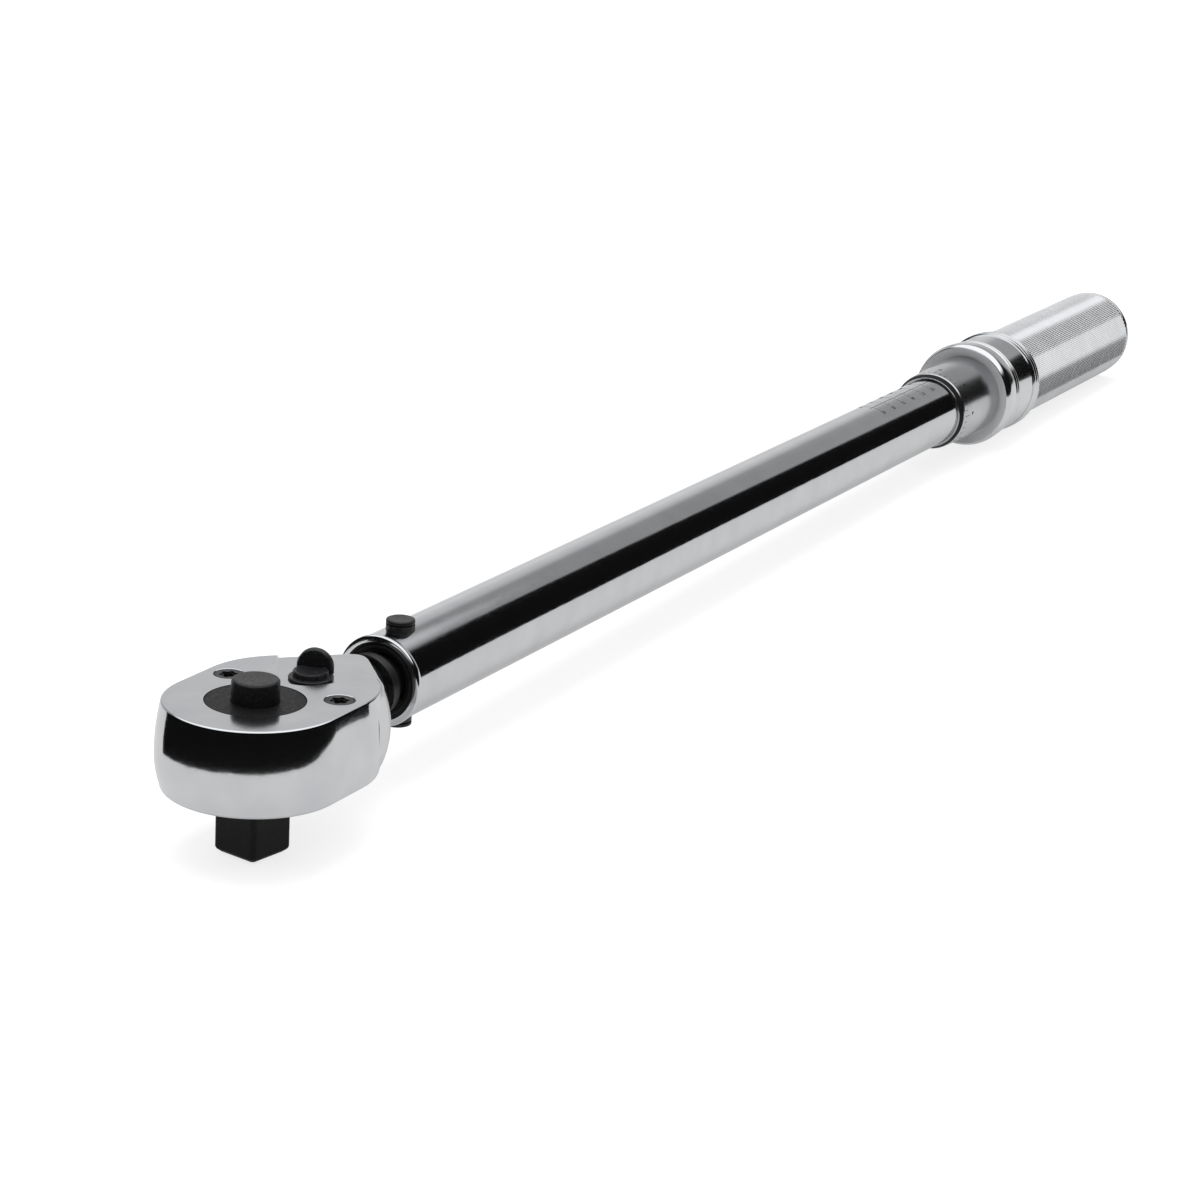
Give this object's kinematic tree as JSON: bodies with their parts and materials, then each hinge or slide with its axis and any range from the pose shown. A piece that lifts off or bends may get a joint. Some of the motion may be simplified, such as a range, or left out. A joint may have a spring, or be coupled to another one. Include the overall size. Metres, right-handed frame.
{
  "type": "torque wrench",
  "caption": "Click-type torque wrench with a reversible ratchet head, square drive, steel tube, graduated thimble, lock ring and knurled grip",
  "frame": {"origin": "On the drive axis, at the shoulder of the square drive, where a socket's face stops.", "axes": "+X runs from the drive along the handle, +Z runs from the square drive to the release button, and +Y completes the right-handed frame."},
  "size_m": [0.5797, 0.0454, 0.0442],
  "materials": {
    "chrome_forging": "polished chrome plate over a forged head",
    "chrome_plate": "satin chrome plate",
    "chrome_tube": "polished chrome tube",
    "chrome_ring": "turned and polished chrome",
    "thimble_steel": "fine turned steel, darker than the tube",
    "knurled_steel": "satin chrome over a fine diamond knurl",
    "black_steel": "black phosphated steel",
    "plain_steel": "machined and oiled steel",
    "spring_steel": "oil-tempered spring wire",
    "ball_steel": "polished bearing steel",
    "bronze": "oil-soaked bronze",
    "black_rubber": "moulded black rubber",
    "black_plastic": "moulded black plastic"
  },
  "bodies": {
    "tube": {"tube": "chrome_tube", "neck_seal": "black_rubber", "pivot_pin": "black_steel", "fixed_nut": "plain_steel", "nut_pins": "plain_steel"},
    "head": {"ratchet_head": "chrome_forging", "cover_plate": "chrome_plate", "cover_screws": "black_steel", "thrust_washer": "bronze", "pawl_pin": "plain_steel"},
    "drive": {"drive_spindle": "black_steel"},
    "button": {"release_button": "black_steel", "release_rod": "plain_steel", "button_spring": "spring_steel"},
    "socket_ball": {"socket_ball": "ball_steel"},
    "lever": {"reversing_lever": "black_steel", "lever_clip": "spring_steel", "pawl_plunger": "plain_steel", "pawl_spring": "spring_steel"},
    "pawl": {"pawl": "plain_steel"},
    "block": {"tilt_block": "plain_steel"},
    "plunger": {"plunger": "plain_steel"},
    "seat": {"spring_seat": "plain_steel", "main_spring": "spring_steel"},
    "handle": {"adjusting_screw": "plain_steel", "thrust_ball": "ball_steel", "thimble": "thimble_steel", "grip": "knurled_steel", "end_plug": "plain_steel", "plug_pin": "black_steel", "end_cap": "black_plastic"},
    "lock_ring": {"lock_ring": "chrome_ring", "lock_spring": "spring_steel"},
    "lock_ball_1": {"lock_ball_1": "ball_steel"},
    "lock_ball_2": {"lock_ball_2": "ball_steel"},
    "lock_ball_3": {"lock_ball_3": "ball_steel"}
  },
  "joints": [
    {"name": "click_pivot", "type": "hinge", "parent": "tube", "child": "head", "pos_m": [0.0622, 0, 0.011], "axis": [0, 0, 1], "range_deg": [0, 2.5], "stiffness_Nm_per_rad": 60},
    {"name": "drive_spin", "type": "hinge", "parent": "head", "child": "drive", "pos_m": [0, 0, 0], "axis": [0, 0, 1], "continuous": true},
    {"name": "button_press", "type": "slide", "parent": "drive", "child": "button", "axis": [0, 0, -1], "range_m": [0, 0.003], "stiffness_N_per_m": 600, "deforming": ["button_spring"]},
    {"name": "ball_retract", "type": "slide", "parent": "drive", "child": "socket_ball", "axis": [-0.9866, 0.1633, 0], "range_m": [0, 0.00095]},
    {"name": "lever_turn", "type": "hinge", "parent": "head", "child": "lever", "pos_m": [0.0227, 0, 0.011], "axis": [0, 0, 1], "range_deg": [-36, 0]},
    {"name": "pawl_rock", "type": "hinge", "parent": "head", "child": "pawl", "pos_m": [0.0169, 0, 0.011], "axis": [0, 0, 1], "range_deg": [0, 14.4]},
    {"name": "block_tilt", "type": "hinge", "parent": "head", "child": "block", "pos_m": [0.12065, -0.0034, 0.011], "axis": [0, 0, 1], "range_deg": [-18.6, 0]},
    {"name": "plunger_slide", "type": "slide", "parent": "tube", "child": "plunger", "axis": [1, 0, 0], "range_m": [0, 0.0021]},
    {"name": "screw_advance", "type": "slide", "parent": "tube", "child": "seat", "axis": [-1, 0, 0], "range_m": [0, 0.032], "deforming": ["main_spring"]},
    {"name": "handle_turn", "type": "hinge", "parent": "seat", "child": "handle", "pos_m": [0.4, 0, 0.011], "axis": [-1, 0, 0], "range_deg": [0, 5764]},
    {"name": "lock_pull", "type": "slide", "parent": "handle", "child": "lock_ring", "axis": [1, 0, 0], "range_m": [0, 0.004], "stiffness_N_per_m": 900, "deforming": ["lock_spring"]},
    {"name": "ball_release_1", "type": "slide", "parent": "handle", "child": "lock_ball_1", "axis": [0, 1, 0], "range_m": [0, 0.0006]},
    {"name": "ball_release_2", "type": "slide", "parent": "handle", "child": "lock_ball_2", "axis": [0, -0.5, 0.866], "range_m": [0, 0.0006]},
    {"name": "ball_release_3", "type": "slide", "parent": "handle", "child": "lock_ball_3", "axis": [0, -0.5, -0.866], "range_m": [0, 0.0006]}
  ],
  "couplings": [
    {"joint": "ball_retract", "follows": "button_press", "ratio": 0.3166},
    {"joint": "pawl_rock", "follows": "lever_turn", "ratio": -0.4},
    {"joint": "block_tilt", "follows": "click_pivot", "ratio": -7.4},
    {"joint": "plunger_slide", "follows": "click_pivot", "m_per_rad": 0.047},
    {"joint": "handle_turn", "follows": "screw_advance", "rad_per_m": 3141.6},
    {"joint": "ball_release_1", "follows": "lock_pull", "ratio": 0.15},
    {"joint": "ball_release_2", "follows": "lock_pull", "ratio": 0.15},
    {"joint": "ball_release_3", "follows": "lock_pull", "ratio": 0.15}
  ]
}
